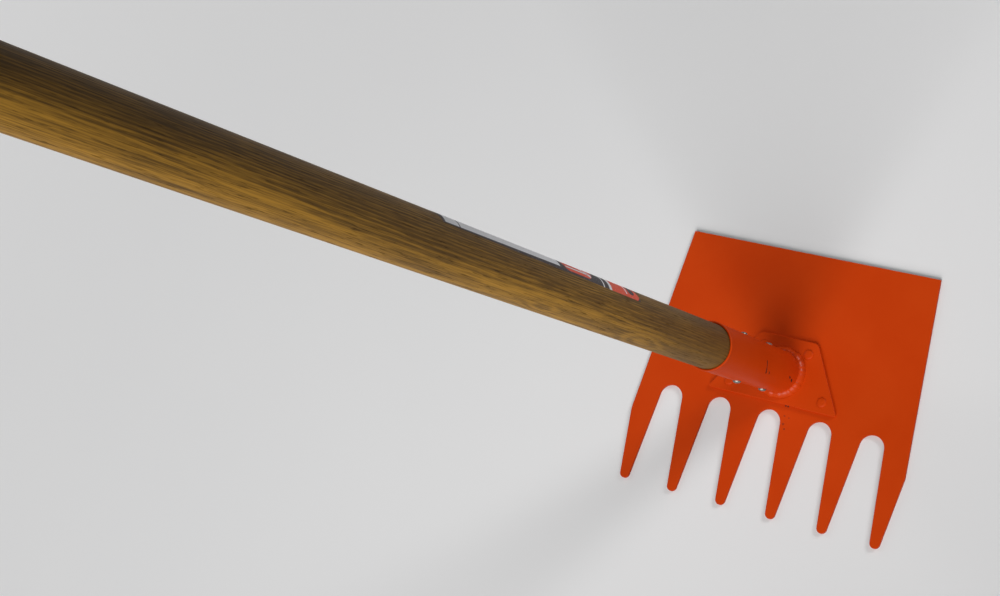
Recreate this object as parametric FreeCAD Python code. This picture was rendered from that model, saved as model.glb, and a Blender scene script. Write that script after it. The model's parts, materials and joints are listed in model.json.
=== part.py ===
"""Forestry rake-hoe (McLeod pattern): steel head with six tines and a hoe edge, on a wooden handle.

Frame, in millimetres: the tool stands upright on its flat blade.  The origin is where the
handle's axis meets the underside of the blade.  +Z runs up along the handle, +Y points at the
hoe edge, -Y at the tines and +X across the blade.
"""
import FreeCAD, Part
import math
import os

# ---- blade -------------------------------------------------------------------------------
BLADE_THICKNESS = 3.2
TINE_COUNT = 6
TINE_PITCH = 51.5
TINE_HALF_ANGLE = math.radians(6.15)   # each side of a tine leans in by this much
TINE_TIP_RADIUS = 4.8
TINE_TIP_Y = -135.1
SLOT_ROOT_RADIUS = 12.0
SHOULDER_Y = -67.7                     # where the tapering body meets the outer tines
HOE_EDGE_Y = 115.9
HOE_EDGE_WIDTH = 250.6
HOE_CORNER_RADIUS = 4.0
HOE_BEVEL_DEPTH = 7.0                  # sharpened on the underside only
HOE_EDGE_LAND = 1.0
BLADE_EDGE_ROUND = 0.45

# ---- reinforcing plate -------------------------------------------------------------------
PLATE_THICKNESS = 3.2
PLATE_TOP_Y = 33.6
PLATE_TOP_HALF_WIDTH = 29.0
PLATE_BOTTOM_Y = -28.7
PLATE_BOTTOM_RIGHT = 64.3              # the foot reaches a little further to -X than to +X
PLATE_BOTTOM_LEFT = 67.3
PLATE_CORNER_RADIUS = 3.0
PLATE_EDGE_ROUND = 0.4

# ---- plate rivets ------------------------------------------------------------------------
UPPER_RIVET_X = 22.9
UPPER_RIVET_Y = 21.9
LOWER_RIVET_X = 47.4
LOWER_RIVET_Y = -18.7
PLATE_RIVET_SHANK_RADIUS = 3.0
PLATE_RIVET_HEAD_RADIUS = 4.6
PLATE_RIVET_HEAD_HEIGHT = 1.3
COUNTERSINK_RADIUS = 4.6
COUNTERSINK_DEPTH = 1.6

# ---- socket ------------------------------------------------------------------------------
HANDLE_LEAN = 2.56                     # degrees, towards the tines
SOCKET_TOP = 180.0                     # measured along the handle's axis from the origin
SOCKET_WALL = 1.7
SOCKET_BORE_TOP_RADIUS = 20.05
SOCKET_BORE_BASE_RADIUS = 18.6
SOCKET_LIP_RADIUS = 21.95
SOCKET_LIP_HEIGHT = 4.0
SOCKET_LIP_ROUND = 0.8

# ---- weld bead ---------------------------------------------------------------------------
BEAD_FOOT_WIDTH = 5.4
BEAD_HEIGHT = 5.0
BEAD_BULGE = 0.9

# ---- handle ------------------------------------------------------------------------------
HANDLE_RADIUS = 20.0
HANDLE_BASE = 9.5                      # the wood stops short of the plate
HANDLE_LENGTH = 1220.0
HANDLE_SOCKET_GAP = 0.1
HANDLE_BASE_CHAMFER = 2.0
HANDLE_END_ROUND = 12.0

# ---- handle rivets -----------------------------------------------------------------------
HANDLE_RIVET_HEIGHTS = (44.5, 106.5)
HANDLE_RIVET_TURN = 7.0                # degrees about the handle's axis, from the Y direction
HANDLE_RIVET_SHANK_RADIUS = 3.0
HANDLE_RIVET_HEAD_RADIUS = 3.8
HANDLE_RIVET_HEAD_HEIGHT = 2.0

# ---- label -------------------------------------------------------------------------------
LABEL_START = 357.0
LABEL_LENGTH = 292.0
LABEL_THICKNESS = 0.06
LABEL_CHORD = 31.7                     # straight across the handle from edge to edge
LABEL_OFFSET = -1.1                    # its middle sits a little to -X of the hoe side
LABEL_SKEW = 0.45                      # degrees, stuck on slightly crooked

SHANK_CLEARANCE = 0.03                 # between a rivet's shank and its hole
STACK_TOP = BLADE_THICKNESS + PLATE_THICKNESS
HANDLE_END = HANDLE_BASE + HANDLE_LENGTH


def vec(x, y, z=0.0):
    """A point or direction."""
    return FreeCAD.Vector(x, y, z)


def lean(shape):
    """Lean a shape built on the Z axis over onto the handle's axis."""
    leaned = shape.copy()
    leaned.rotate(vec(0, 0, 0), vec(1, 0, 0), HANDLE_LEAN)
    return leaned


def arc(start, middle, end):
    """A circular edge through three points."""
    return Part.Arc(start, middle, end).toShape()


def line(start, end):
    """A straight edge."""
    return Part.LineSegment(start, end).toShape()


def revolve(points):
    """A solid of revolution about Z from (radius, height) points."""
    corners = [vec(radius, 0, height) for radius, height in points]
    profile = Part.Face(Part.makePolygon(corners + corners[:1]))
    return profile.revolve(vec(0, 0, 0), vec(0, 0, 1), 360)


def level_edges(shape, z, tolerance=1e-4):
    """The edges of a shape that lie wholly at one height."""
    return [edge for edge in shape.Edges
            if abs(edge.BoundBox.ZMin - z) < tolerance and abs(edge.BoundBox.ZMax - z) < tolerance]


def upright_edges(shape, places):
    """The vertical edges of a shape that stand at the given (x, y) places."""
    found = []
    for edge in shape.Edges:
        box = edge.BoundBox
        if box.ZLength < 1.0 or box.XLength > 1e-4 or box.YLength > 1e-4:
            continue
        if any(math.hypot(box.XMin - x, box.YMin - y) < 1e-3 for x, y in places):
            found.append(edge)
    return found


def plate_rivet_places():
    """The four rivets of the reinforcing plate, two above the socket and two below."""
    upper = [(side * UPPER_RIVET_X, UPPER_RIVET_Y) for side in (-1, 1)]
    lower = [(side * LOWER_RIVET_X, LOWER_RIVET_Y) for side in (-1, 1)]
    return upper + lower


def blade_outline():
    """The blade's closed outline: hoe edge, two leaning sides, then six tines with five slots."""
    sine = math.sin(TINE_HALF_ANGLE)
    cosine = math.cos(TINE_HALF_ANGLE)
    tip_y = TINE_TIP_Y + TINE_TIP_RADIUS
    apex_y = tip_y - TINE_TIP_RADIUS / sine
    slot_apex_y = apex_y + TINE_PITCH / 2 / math.tan(TINE_HALF_ANGLE)
    root_y = slot_apex_y - SLOT_ROOT_RADIUS / sine
    outer_x = (TINE_COUNT - 1) / 2 * TINE_PITCH
    shoulder_x = outer_x + (SHOULDER_Y - apex_y) * math.tan(TINE_HALF_ANGLE)

    hoe_right = vec(HOE_EDGE_WIDTH / 2, HOE_EDGE_Y)
    hoe_left = vec(-HOE_EDGE_WIDTH / 2, HOE_EDGE_Y)
    shoulder_right = vec(shoulder_x, SHOULDER_Y)
    shoulder_left = vec(-shoulder_x, SHOULDER_Y)
    edges = [line(hoe_left, hoe_right), line(hoe_right, shoulder_right)]
    here = shoulder_right
    for number in range(TINE_COUNT):
        x = outer_x - number * TINE_PITCH
        tip_right = vec(x + TINE_TIP_RADIUS * cosine, tip_y - TINE_TIP_RADIUS * sine)
        tip_left = vec(x - TINE_TIP_RADIUS * cosine, tip_y - TINE_TIP_RADIUS * sine)
        edges.append(line(here, tip_right))
        edges.append(arc(tip_right, vec(x, TINE_TIP_Y), tip_left))
        here = tip_left
        if number == TINE_COUNT - 1:
            break
        x -= TINE_PITCH / 2
        root_right = vec(x + SLOT_ROOT_RADIUS * cosine, root_y + SLOT_ROOT_RADIUS * sine)
        root_left = vec(x - SLOT_ROOT_RADIUS * cosine, root_y + SLOT_ROOT_RADIUS * sine)
        edges.append(line(here, root_right))
        edges.append(arc(root_right, vec(x, root_y + SLOT_ROOT_RADIUS), root_left))
        here = root_left
    edges.append(line(here, shoulder_left))
    edges.append(line(shoulder_left, hoe_left))
    return Part.Wire(edges)


def hoe_bevel():
    """The wedge ground off the underside along the hoe edge."""
    reach = 1.0
    rise = BLADE_THICKNESS - HOE_EDGE_LAND
    slope = rise / HOE_BEVEL_DEPTH
    start_x = -HOE_EDGE_WIDTH
    profile = [(HOE_EDGE_Y - HOE_BEVEL_DEPTH - reach, -reach * slope),
               (HOE_EDGE_Y + reach, -reach * slope),
               (HOE_EDGE_Y + reach, rise + reach * slope)]
    corners = [vec(start_x, y, z) for y, z in profile]
    face = Part.Face(Part.makePolygon(corners + corners[:1]))
    return face.extrude(vec(2 * HOE_EDGE_WIDTH, 0, 0))


def blade():
    """The flat steel plate: hoe edge at one end, six tines at the other, four countersunk holes."""
    body = Part.Face(blade_outline()).extrude(vec(0, 0, BLADE_THICKNESS))
    corners = [(side * HOE_EDGE_WIDTH / 2, HOE_EDGE_Y) for side in (-1, 1)]
    body = body.makeFillet(HOE_CORNER_RADIUS, upright_edges(body, corners))
    body = body.makeFillet(BLADE_EDGE_ROUND, level_edges(body, BLADE_THICKNESS))
    body = body.cut(hoe_bevel())
    for x, y in plate_rivet_places():
        hole = Part.makeCylinder(PLATE_RIVET_SHANK_RADIUS, BLADE_THICKNESS, vec(x, y, 0))
        sink = Part.makeCone(COUNTERSINK_RADIUS, PLATE_RIVET_SHANK_RADIUS, COUNTERSINK_DEPTH, vec(x, y, 0))
        body = body.cut(hole.fuse(sink))
    return body


def reinforcing_plate():
    """The trapezoidal doubler riveted to the middle of the blade, under the socket."""
    outline = [vec(-PLATE_TOP_HALF_WIDTH, PLATE_TOP_Y, BLADE_THICKNESS),
               vec(PLATE_TOP_HALF_WIDTH, PLATE_TOP_Y, BLADE_THICKNESS),
               vec(PLATE_BOTTOM_RIGHT, PLATE_BOTTOM_Y, BLADE_THICKNESS),
               vec(-PLATE_BOTTOM_LEFT, PLATE_BOTTOM_Y, BLADE_THICKNESS)]
    body = Part.Face(Part.makePolygon(outline + outline[:1])).extrude(vec(0, 0, PLATE_THICKNESS))
    body = body.makeFillet(PLATE_CORNER_RADIUS, upright_edges(body, [(p.x, p.y) for p in outline]))
    body = body.makeFillet(PLATE_EDGE_ROUND, level_edges(body, STACK_TOP))
    for x, y in plate_rivet_places():
        base = vec(x, y, BLADE_THICKNESS)
        body = body.cut(Part.makeCylinder(PLATE_RIVET_SHANK_RADIUS, PLATE_THICKNESS, base))
    return body


def round_head(radius, height, base, skirt=0.0):
    """A low domed head on the Z axis: the dome starts at base, on a straight skirt below it."""
    sphere_radius = (radius ** 2 + height ** 2) / (2 * height)
    middle_angle = math.asin(radius / sphere_radius) / 2
    centre = base + height - sphere_radius
    foot = vec(0, 0, base - skirt)
    foot_rim = vec(radius, 0, base - skirt)
    rim = vec(radius, 0, base)
    top = vec(0, 0, base + height)
    middle = vec(sphere_radius * math.sin(middle_angle), 0, centre + sphere_radius * math.cos(middle_angle))
    edges = [line(foot, foot_rim), arc(rim, middle, top), line(top, foot)]
    if skirt > 0:
        edges.insert(1, line(foot_rim, rim))
    return Part.Face(Part.Wire(edges)).revolve(vec(0, 0, 0), vec(0, 0, 1), 360)


def plate_rivet(x, y):
    """One plate rivet: low round head on the plate, tail hammered flush into the countersink."""
    radius = PLATE_RIVET_SHANK_RADIUS - SHANK_CLEARANCE
    sink_radius = COUNTERSINK_RADIUS - SHANK_CLEARANCE
    shank = revolve([(0, 0), (sink_radius, 0), (radius, COUNTERSINK_DEPTH),
                     (radius, STACK_TOP), (0, STACK_TOP)])
    head = round_head(PLATE_RIVET_HEAD_RADIUS, PLATE_RIVET_HEAD_HEIGHT, STACK_TOP)
    body = shank.fuse(head).removeSplitter()
    body.translate(vec(x, y, 0))
    return body


def bore_radius(height):
    """The socket bore's radius at a height along the handle's axis."""
    slope = (SOCKET_BORE_TOP_RADIUS - SOCKET_BORE_BASE_RADIUS) / SOCKET_TOP
    return SOCKET_BORE_BASE_RADIUS + slope * height


def taper_end():
    """The height at which the handle's taper reaches its full radius, just above the socket."""
    slope = (SOCKET_BORE_TOP_RADIUS - SOCKET_BORE_BASE_RADIUS) / SOCKET_TOP
    return (HANDLE_RADIUS + HANDLE_SOCKET_GAP - SOCKET_BORE_BASE_RADIUS) / slope


def below_plate_top():
    """Everything below the top of the reinforcing plate, near the socket."""
    size = 200.0
    return Part.makeBox(size, size, size, vec(-size / 2, -size / 2, STACK_TOP - size))


def socket_skin(extra=0.0):
    """The leaned solid filling the socket to its outer face, extra millimetres bigger all round."""
    outer_top = bore_radius(SOCKET_TOP) + SOCKET_WALL + extra
    outer_base = bore_radius(0) + SOCKET_WALL + extra
    return lean(revolve([(0, 0), (outer_base, 0), (outer_top, SOCKET_TOP), (0, SOCKET_TOP)]))


def handle_rivet_tool(height, radius, reach):
    """A cylinder through the handle's axis at a height, for a rivet's shank or its hole."""
    turn = math.radians(HANDLE_RIVET_TURN)
    across = vec(-math.sin(turn), math.cos(turn), 0)
    start = vec(0, 0, height) - across * reach
    return lean(Part.makeCylinder(radius, 2 * reach, start, across))


def socket():
    """The tapering steel tube that holds the handle, with a rounded lip at its mouth."""
    lip_start = SOCKET_TOP - SOCKET_LIP_HEIGHT
    mouth = bore_radius(SOCKET_TOP)
    profile = [(bore_radius(0), 0), (bore_radius(0) + SOCKET_WALL, 0),
               (bore_radius(lip_start) + SOCKET_WALL, lip_start),
               (SOCKET_LIP_RADIUS, SOCKET_TOP - SOCKET_LIP_HEIGHT / 2),
               (SOCKET_LIP_RADIUS, SOCKET_TOP),
               (mouth, SOCKET_TOP)]
    body = revolve(profile)
    rim = [edge for edge in level_edges(body, SOCKET_TOP) if edge.Length > 1.0]
    body = lean(body.makeFillet(SOCKET_LIP_ROUND, rim))
    body = body.cut(below_plate_top())
    for height in HANDLE_RIVET_HEIGHTS:
        body = body.cut(handle_rivet_tool(height, HANDLE_RIVET_SHANK_RADIUS, 2 * HANDLE_RADIUS))
    return body


def weld_bead():
    """The weld that runs round the foot of the socket on the reinforcing plate."""
    inner = bore_radius(0) + SOCKET_WALL
    foot = vec(inner + BEAD_FOOT_WIDTH, 0, STACK_TOP)
    top = vec(inner, 0, STACK_TOP + BEAD_HEIGHT)
    middle = (foot + top) * 0.5
    normal = vec(BEAD_HEIGHT, 0, BEAD_FOOT_WIDTH)
    normal.normalize()
    core = vec(inner / 2, 0, STACK_TOP)
    core_top = vec(inner / 2, 0, STACK_TOP + BEAD_HEIGHT)
    section = Part.Wire([line(core, foot), arc(foot, middle + normal * BEAD_BULGE, top),
                         line(top, core_top), line(core_top, core)])
    ring = Part.Face(section).revolve(vec(0, 0, 0), vec(0, 0, 1), 360)
    return ring.cut(socket_skin())


def handle():
    """The straight round wooden handle, tapered where it is driven into the socket."""
    base = bore_radius(HANDLE_BASE) - HANDLE_SOCKET_GAP
    body = revolve([(0, HANDLE_BASE), (base - HANDLE_BASE_CHAMFER, HANDLE_BASE),
                    (base, HANDLE_BASE + HANDLE_BASE_CHAMFER),
                    (HANDLE_RADIUS, taper_end()), (HANDLE_RADIUS, HANDLE_END), (0, HANDLE_END)])
    end_rim = [edge for edge in level_edges(body, HANDLE_END) if edge.Length > 1.0]
    body = lean(body.makeFillet(HANDLE_END_ROUND, end_rim))
    for height in HANDLE_RIVET_HEIGHTS:
        body = body.cut(handle_rivet_tool(height, HANDLE_RIVET_SHANK_RADIUS, 2 * HANDLE_RADIUS))
    return body


def handle_rivet(height):
    """One rivet through socket and handle, with a domed head on each side."""
    seat = bore_radius(height) + SOCKET_WALL
    skirt = 1.0
    radius = HANDLE_RIVET_SHANK_RADIUS - SHANK_CLEARANCE
    shank = handle_rivet_tool(height, radius, seat + HANDLE_RIVET_HEAD_HEIGHT / 2)
    heads = []
    for side in (-1, 1):
        head = round_head(HANDLE_RIVET_HEAD_RADIUS, HANDLE_RIVET_HEAD_HEIGHT, seat, skirt)
        head.rotate(vec(0, 0, 0), vec(1, 0, 0), -90 * side)
        head.rotate(vec(0, 0, 0), vec(0, 0, 1), HANDLE_RIVET_TURN)
        head.translate(vec(0, 0, height))
        heads.append(lean(head).cut(socket_skin()))
    return shank.fuse(heads).removeSplitter()


def label():
    """The thin printed label wrapped round the hoe side of the handle, slightly crooked."""
    base = vec(0, 0, LABEL_START)
    outer = Part.makeCylinder(HANDLE_RADIUS + LABEL_THICKNESS, LABEL_LENGTH, base)
    inner = Part.makeCylinder(HANDLE_RADIUS, LABEL_LENGTH, base)
    reach = 2 * HANDLE_RADIUS
    spare = 10.0
    corner = vec(LABEL_OFFSET - LABEL_CHORD / 2, 0, LABEL_START - spare)
    front = Part.makeBox(LABEL_CHORD, reach, LABEL_LENGTH + 2 * spare, corner)
    front.rotate(vec(0, 0, LABEL_START + LABEL_LENGTH / 2), vec(0, 1, 0), -LABEL_SKEW)
    return lean(outer.cut(inner).common(front))


def subparts():
    """Every sub-part of the tool by its node's name."""
    parts = {"blade": blade(), "reinforcing_plate": reinforcing_plate(), "socket": socket(),
             "weld_bead": weld_bead(), "handle": handle(), "label": label()}
    for number, (x, y) in enumerate(plate_rivet_places(), start=1):
        parts[f"plate_rivet_{number}"] = plate_rivet(x, y)
    for number, height in enumerate(HANDLE_RIVET_HEIGHTS, start=1):
        parts[f"handle_rivet_{number}"] = handle_rivet(height)
    return parts


def main():
    """Build every sub-part and write it to its own STEP file."""
    os.makedirs("parts", exist_ok=True)
    for name, shape in subparts().items():
        box = shape.BoundBox
        print(f"{name}: solids {len(shape.Solids)}, valid {shape.isValid()}, volume {shape.Volume:.0f}, "
              f"x {box.XMin:.1f}..{box.XMax:.1f} y {box.YMin:.1f}..{box.YMax:.1f} "
              f"z {box.ZMin:.2f}..{box.ZMax:.2f}")
        shape.exportStep(f"parts/{name}.step")


if __name__ == "__main__":
    main()
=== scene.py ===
"""Looks of the forestry rake-hoe: painted steel head, riveted socket and dark wooden handle."""
import json
import logging
import math
import random
from collections.abc import Callable, Mapping, Sequence
from dataclasses import dataclass
from enum import Enum

import bmesh
import bpy
from mathutils import Matrix, Quaternion, Vector


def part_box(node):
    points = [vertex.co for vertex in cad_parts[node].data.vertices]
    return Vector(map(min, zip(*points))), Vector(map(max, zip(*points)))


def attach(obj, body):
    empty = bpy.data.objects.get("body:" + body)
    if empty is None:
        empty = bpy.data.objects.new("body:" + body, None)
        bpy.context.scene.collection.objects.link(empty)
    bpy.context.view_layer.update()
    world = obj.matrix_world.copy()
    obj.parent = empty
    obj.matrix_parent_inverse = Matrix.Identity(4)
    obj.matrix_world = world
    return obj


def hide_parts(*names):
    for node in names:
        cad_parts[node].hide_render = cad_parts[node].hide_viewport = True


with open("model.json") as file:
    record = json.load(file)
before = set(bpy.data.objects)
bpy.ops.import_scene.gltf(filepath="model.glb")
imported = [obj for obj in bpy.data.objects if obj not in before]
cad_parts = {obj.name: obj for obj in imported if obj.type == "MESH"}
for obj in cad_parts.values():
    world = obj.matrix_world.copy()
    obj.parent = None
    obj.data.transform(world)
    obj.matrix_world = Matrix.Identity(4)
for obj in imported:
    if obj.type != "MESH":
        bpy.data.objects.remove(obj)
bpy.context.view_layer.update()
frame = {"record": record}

MM = 0.001
CLOSE = 0.1 * MM
TOUCHING = 0.01 * MM
LOG = logging.getLogger("rake_hoe")
Ring = tuple[float, float]
Piece = bpy.types.Object


# ---- the frame's own sizes --------

def mount(name: str) -> dict:
    """Find one of the record's mounts.

    Args:
        name: the mount's name.

    Returns:
        The mount as the record holds it.
    """
    return next(each for each in frame["record"]["mounts"] if each["name"] == name)


HANDLE_AXIS = Vector(mount("handle_grip")["axis"]).normalized()
HANDLE_RADIUS = mount("handle_grip")["dims"]["r_mm"] * MM
LEAN = math.atan2(-HANDLE_AXIS.y, HANDLE_AXIS.z)
LEAN_MATRIX = Matrix.Rotation(LEAN, 4, "X")


def on_handle(height: float, angle: float, radius: float) -> Vector:
    """Place a point by its height along the handle's axis and its angle round it.

    Args:
        height: distance from the origin along the axis, in metres.
        angle: degrees from +X towards +Y.
        radius: distance from the axis, in metres.

    Returns:
        The point in the tool's frame.
    """
    turn = math.radians(angle)
    return LEAN_MATRIX @ Vector((radius * math.cos(turn), radius * math.sin(turn), height))


# ---- shader recipes --------

def math_operator(operation: str, swapped: bool = False) -> Callable[["Wire", "Wire | float"], "Wire"]:
    """Make one of a wire's operators.

    Args:
        operation: the Math node's operation.
        swapped: put the other value first.

    Returns:
        The operator, which adds one Math node.
    """
    def operator(self: "Wire", other: "Wire | float" = 0.0) -> "Wire":
        """Add the Math node."""
        first, second = (other, self) if swapped else (self, other)
        return self.recipe.node("ShaderNodeMath", {"operation": operation}, {0: first, 1: second})
    return operator


class Wire:
    """One output of a shader node; arithmetic on it adds Math nodes."""

    def __init__(self, recipe: "Recipe", socket: bpy.types.NodeSocket | None) -> None:
        """Keep the socket and the recipe that it belongs to."""
        self.recipe = recipe
        self.socket = socket

    __add__ = __radd__ = math_operator("ADD")
    __sub__ = math_operator("SUBTRACT")
    __rsub__ = math_operator("SUBTRACT", swapped=True)
    __mul__ = __rmul__ = math_operator("MULTIPLY")
    __pow__ = math_operator("POWER")
    __abs__ = math_operator("ABSOLUTE")
    larger = math_operator("MAXIMUM")
    smaller = math_operator("MINIMUM")
    sine = math_operator("SINE")

    def wave(self) -> "Wire":
        """The sine of this value, moved into 0 to 1."""
        return self.sine() * 0.5 + 0.5

    def between(self, low: float, high: float) -> "Wire":
        """Rise smoothly from 0 at low to 1 at high (or fall, where low is the larger)."""
        inputs = {"Value": self, "From Min": low, "From Max": high}
        return self.recipe.node("ShaderNodeMapRange", {"interpolation_type": "SMOOTHSTEP"}, inputs)


@dataclass(frozen=True)
class Coat:
    """A finish once it is made: the slot that it fills and its material."""

    slot: str
    material: bpy.types.Material


class Recipe:
    """A material under construction."""

    def __init__(self, name: str) -> None:
        """Start an empty material.

        Args:
            name: the material's name, and its slot's.
        """
        self.name = name
        self.material = bpy.data.materials.new(name)
        self.material.use_nodes = True
        self.tree = self.material.node_tree
        self.tree.nodes.clear()

    def node(self, kind: str, settings: Mapping[str, object] | None = None,
             inputs: Mapping[str | int, object] | None = None, output: str | int = 0) -> Wire:
        """Add any node.

        Args:
            kind: the node's type name.
            settings: its own settings, set first.
            inputs: values or wires for its sockets, by name or number.
            output: which output to hand back.

        Returns:
            The chosen output as a wire.
        """
        made = self.tree.nodes.new(kind)
        for key, value in (settings or {}).items():
            setattr(made, key, value)
        for key, value in (inputs or {}).items():
            if isinstance(value, Wire):
                self.tree.links.new(value.socket, made.inputs[key])
            else:
                made.inputs[key].default_value = value
        return Wire(self, made.outputs[output]) if made.outputs else Wire(self, None)

    def place(self, **moves: tuple) -> Wire:
        """Object coordinates, moved as map() moves them."""
        return self.map(self.node("ShaderNodeTexCoord", output="Object"), **moves)

    def map(self, vector: Wire, turn: tuple = (0, 0, 0), scale: tuple = (1, 1, 1),
            shift: tuple = (0, 0, 0)) -> Wire:
        """Move, turn and stretch coordinates."""
        inputs = {"Vector": vector, "Location": shift, "Rotation": turn, "Scale": scale}
        return self.node("ShaderNodeMapping", None, inputs)

    def noise(self, vector: Wire, scale: float, detail: float = 2.0, roughness: float = 0.5) -> Wire:
        """Soft noise from 0 to 1."""
        inputs = {"Vector": vector, "Scale": scale, "Detail": detail, "Roughness": roughness}
        return self.node("ShaderNodeTexNoise", None, inputs)

    def axis(self, vector: Wire, name: str) -> Wire:
        """One coordinate of a vector: X, Y or Z."""
        return self.node("ShaderNodeSeparateXYZ", None, {0: vector}, output=name)

    def vector(self, operation: str, first: object, second: object, output: str = "Vector") -> Wire:
        """Add one Vector Math node on two vectors."""
        return self.node("ShaderNodeVectorMath", {"operation": operation}, {0: first, 1: second}, output)

    def distance(self, vector: Wire, point: Sequence[float]) -> Wire:
        """Distance from a fixed point."""
        return self.vector("DISTANCE", vector, tuple(point), "Value")

    def distance_to_line(self, vector: Wire, start: Vector, end: Vector) -> Wire:
        """Distance from a straight line between two points.

        Args:
            vector: where to measure.
            start: one end of the line.
            end: the other end.

        Returns:
            The distance in metres.
        """
        line = end - start
        offset = self.vector("SUBTRACT", vector, tuple(start))
        share = self.vector("DOT_PRODUCT", offset, tuple(line / line.length_squared), "Value")
        inputs = {0: tuple(line), "Scale": share.larger(0.0).smaller(1.0)}
        along = self.node("ShaderNodeVectorMath", {"operation": "SCALE"}, inputs)
        return self.vector("DISTANCE", offset, along, "Value")

    def blend(self, amount: Wire | float, first: Wire | tuple, second: Wire | tuple) -> Wire:
        """Mix two colours: amount 0 gives the first and 1 the second."""
        inputs = {0: amount, 6: self._colour(first), 7: self._colour(second)}
        return self.node("ShaderNodeMix", {"data_type": "RGBA"}, inputs, output=2)

    @staticmethod
    def _colour(value: Wire | tuple) -> Wire | tuple:
        """Give a plain colour its alpha."""
        return value if isinstance(value, Wire) else (*value, 1.0)

    def bump(self, height: Wire, depth: float, strength: float = 1.0, under: Wire | None = None) -> Wire:
        """Turn a height into a surface normal.

        Args:
            height: the height, about 0 to 1.
            depth: how far 1 stands out, in metres.
            strength: share of the effect.
            under: a normal to build on.

        Returns:
            The bumped normal.
        """
        inputs = {"Height": height, "Distance": depth, "Strength": strength}
        if under is not None:
            inputs["Normal"] = under
        return self.node("ShaderNodeBump", None, inputs)

    def finish(self, **inputs: Wire | float | tuple) -> Coat:
        """Feed the shader and close the recipe.

        Args:
            inputs: the shader's sockets, with underscores for spaces.

        Returns:
            The finished coat.
        """
        named = {key.replace("_", " "): value for key, value in inputs.items()}
        shader = self.node("ShaderNodeBsdfPrincipled", None, named)
        self.node("ShaderNodeOutputMaterial", None, {"Surface": shader})
        return Coat(self.name, self.material)


# ---- finishes --------

@dataclass(frozen=True)
class Chip:
    """One scratch where the paint has come off: a spot, or a line when it has an end."""

    place: Vector
    radius: float
    end: Vector | None = None
    depth: float = 1.0

    def distance(self, recipe: Recipe, place: Wire) -> Wire:
        """Measure how far a point is from the scratch.

        Args:
            recipe: the recipe that gets the nodes.
            place: where to measure.

        Returns:
            The distance in metres.
        """
        if self.end is None:
            return recipe.distance(place, self.place)
        return recipe.distance_to_line(place, self.place, self.end)


@dataclass(frozen=True)
class OrangePaint:
    """Thick orange enamel on steel, with a few chips down to dark metal."""

    colour: tuple = (0.595, 0.048, 0.0014)
    pale: tuple = (0.625, 0.055, 0.0024)
    steel: tuple = (0.030, 0.020, 0.016)
    roughness: float = 0.46
    mottle_size: float = 60 * MM
    peel_size: float = 1.6 * MM
    ripple_size: float = 14 * MM
    ripple_depth: float = 0.16 * MM
    chip_raggedness: float = 0.8 * MM
    chip_depth: float = 0.12 * MM
    streak_radius: float = 21.0 * MM
    weld_reach: tuple = (29 * MM, 26 * MM)
    weld_foot: tuple = (6.6 * MM, 7.2 * MM)
    weld_top: tuple = (13 * MM, 11 * MM)

    def chips(self) -> list[Chip]:
        """Place the chips: streaks down the socket by height and angle, spots on plate and blade.

        Returns:
            Every chip.
        """
        scratches = []
        for start, end, size in (((94, 9), (92.5, 0), 0.8), ((92.5, 0), (90.5, -10), 0.6),
                                 ((90.5, -10), (87.5, -20), 0.95), ((81.5, -15), (80, -19), 0.7),
                                 ((31.5, -8), (29, -12), 1.0), ((24, -14), (21.5, -19), 1.2)):
            ends = [on_handle(height * MM, angle, self.streak_radius) for height, angle in (start, end)]
            scratches.append(Chip(ends[0], size * MM, ends[1]))
        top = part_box("blade")[1].z
        for x, y, size, depth in ((13.2, -29.4, 1.0, 0.8), (15.6, -29.5, 1.0, 0.8), (14.6, -39, 1.1, 0.4),
                                  (19.4, -39.8, 0.8, 0.4), (15.2, -46.6, 1.3, 0.45), (17.5, -50.9, 1.0, 0.5)):
            scratches.append(Chip(Vector((x * MM, y * MM, top)), size * MM, depth=depth))
        return scratches

    def make(self) -> Coat:
        """Mix the paint, glossier where it lies thick on the weld.

        Returns:
            The paint.
        """
        recipe = Recipe("orange_paint")
        place = recipe.place()
        mottle = recipe.noise(place, 1 / self.mottle_size, detail=4.0)
        peel = recipe.noise(place, 1 / self.peel_size, detail=2.0)
        ripple = recipe.noise(place, 1 / self.ripple_size, detail=1.0)
        ragged = recipe.noise(place, 1 / self.chip_raggedness, detail=3.0)
        bare = None
        for chip in self.chips():
            reach = chip.distance(recipe, place) + (ragged - 0.5) * (1.6 * chip.radius)
            spot = reach.between(1.05 * chip.radius, 0.70 * chip.radius) * chip.depth
            bare = spot if bare is None else bare.larger(spot)
        paint = recipe.blend(mottle.between(0.30, 0.70), self.colour, self.pale)
        colour = recipe.blend(bare, paint, self.steel)
        normal = recipe.bump(ripple * 0.25 + peel * 0.02, self.ripple_depth, 0.5)
        normal = recipe.bump(bare, -self.chip_depth, 1.0, normal)
        upright = recipe.axis(place, "Z")
        from_axis = recipe.distance(recipe.map(place, scale=(1, 1, 0)), (0, 0, 0))
        thick = from_axis.between(*self.weld_reach) * upright.between(*self.weld_foot)
        thick = thick * upright.between(*self.weld_top)
        roughness = (mottle - 0.5) * 0.08 + self.roughness + bare * 0.25 - thick * 0.14
        return recipe.finish(Base_Color=colour, Roughness=roughness, Normal=normal,
                             Specular_IOR_Level=0.10, Coat_Weight=thick * 0.42 + 0.02,
                             Coat_Roughness=0.42)


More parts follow.
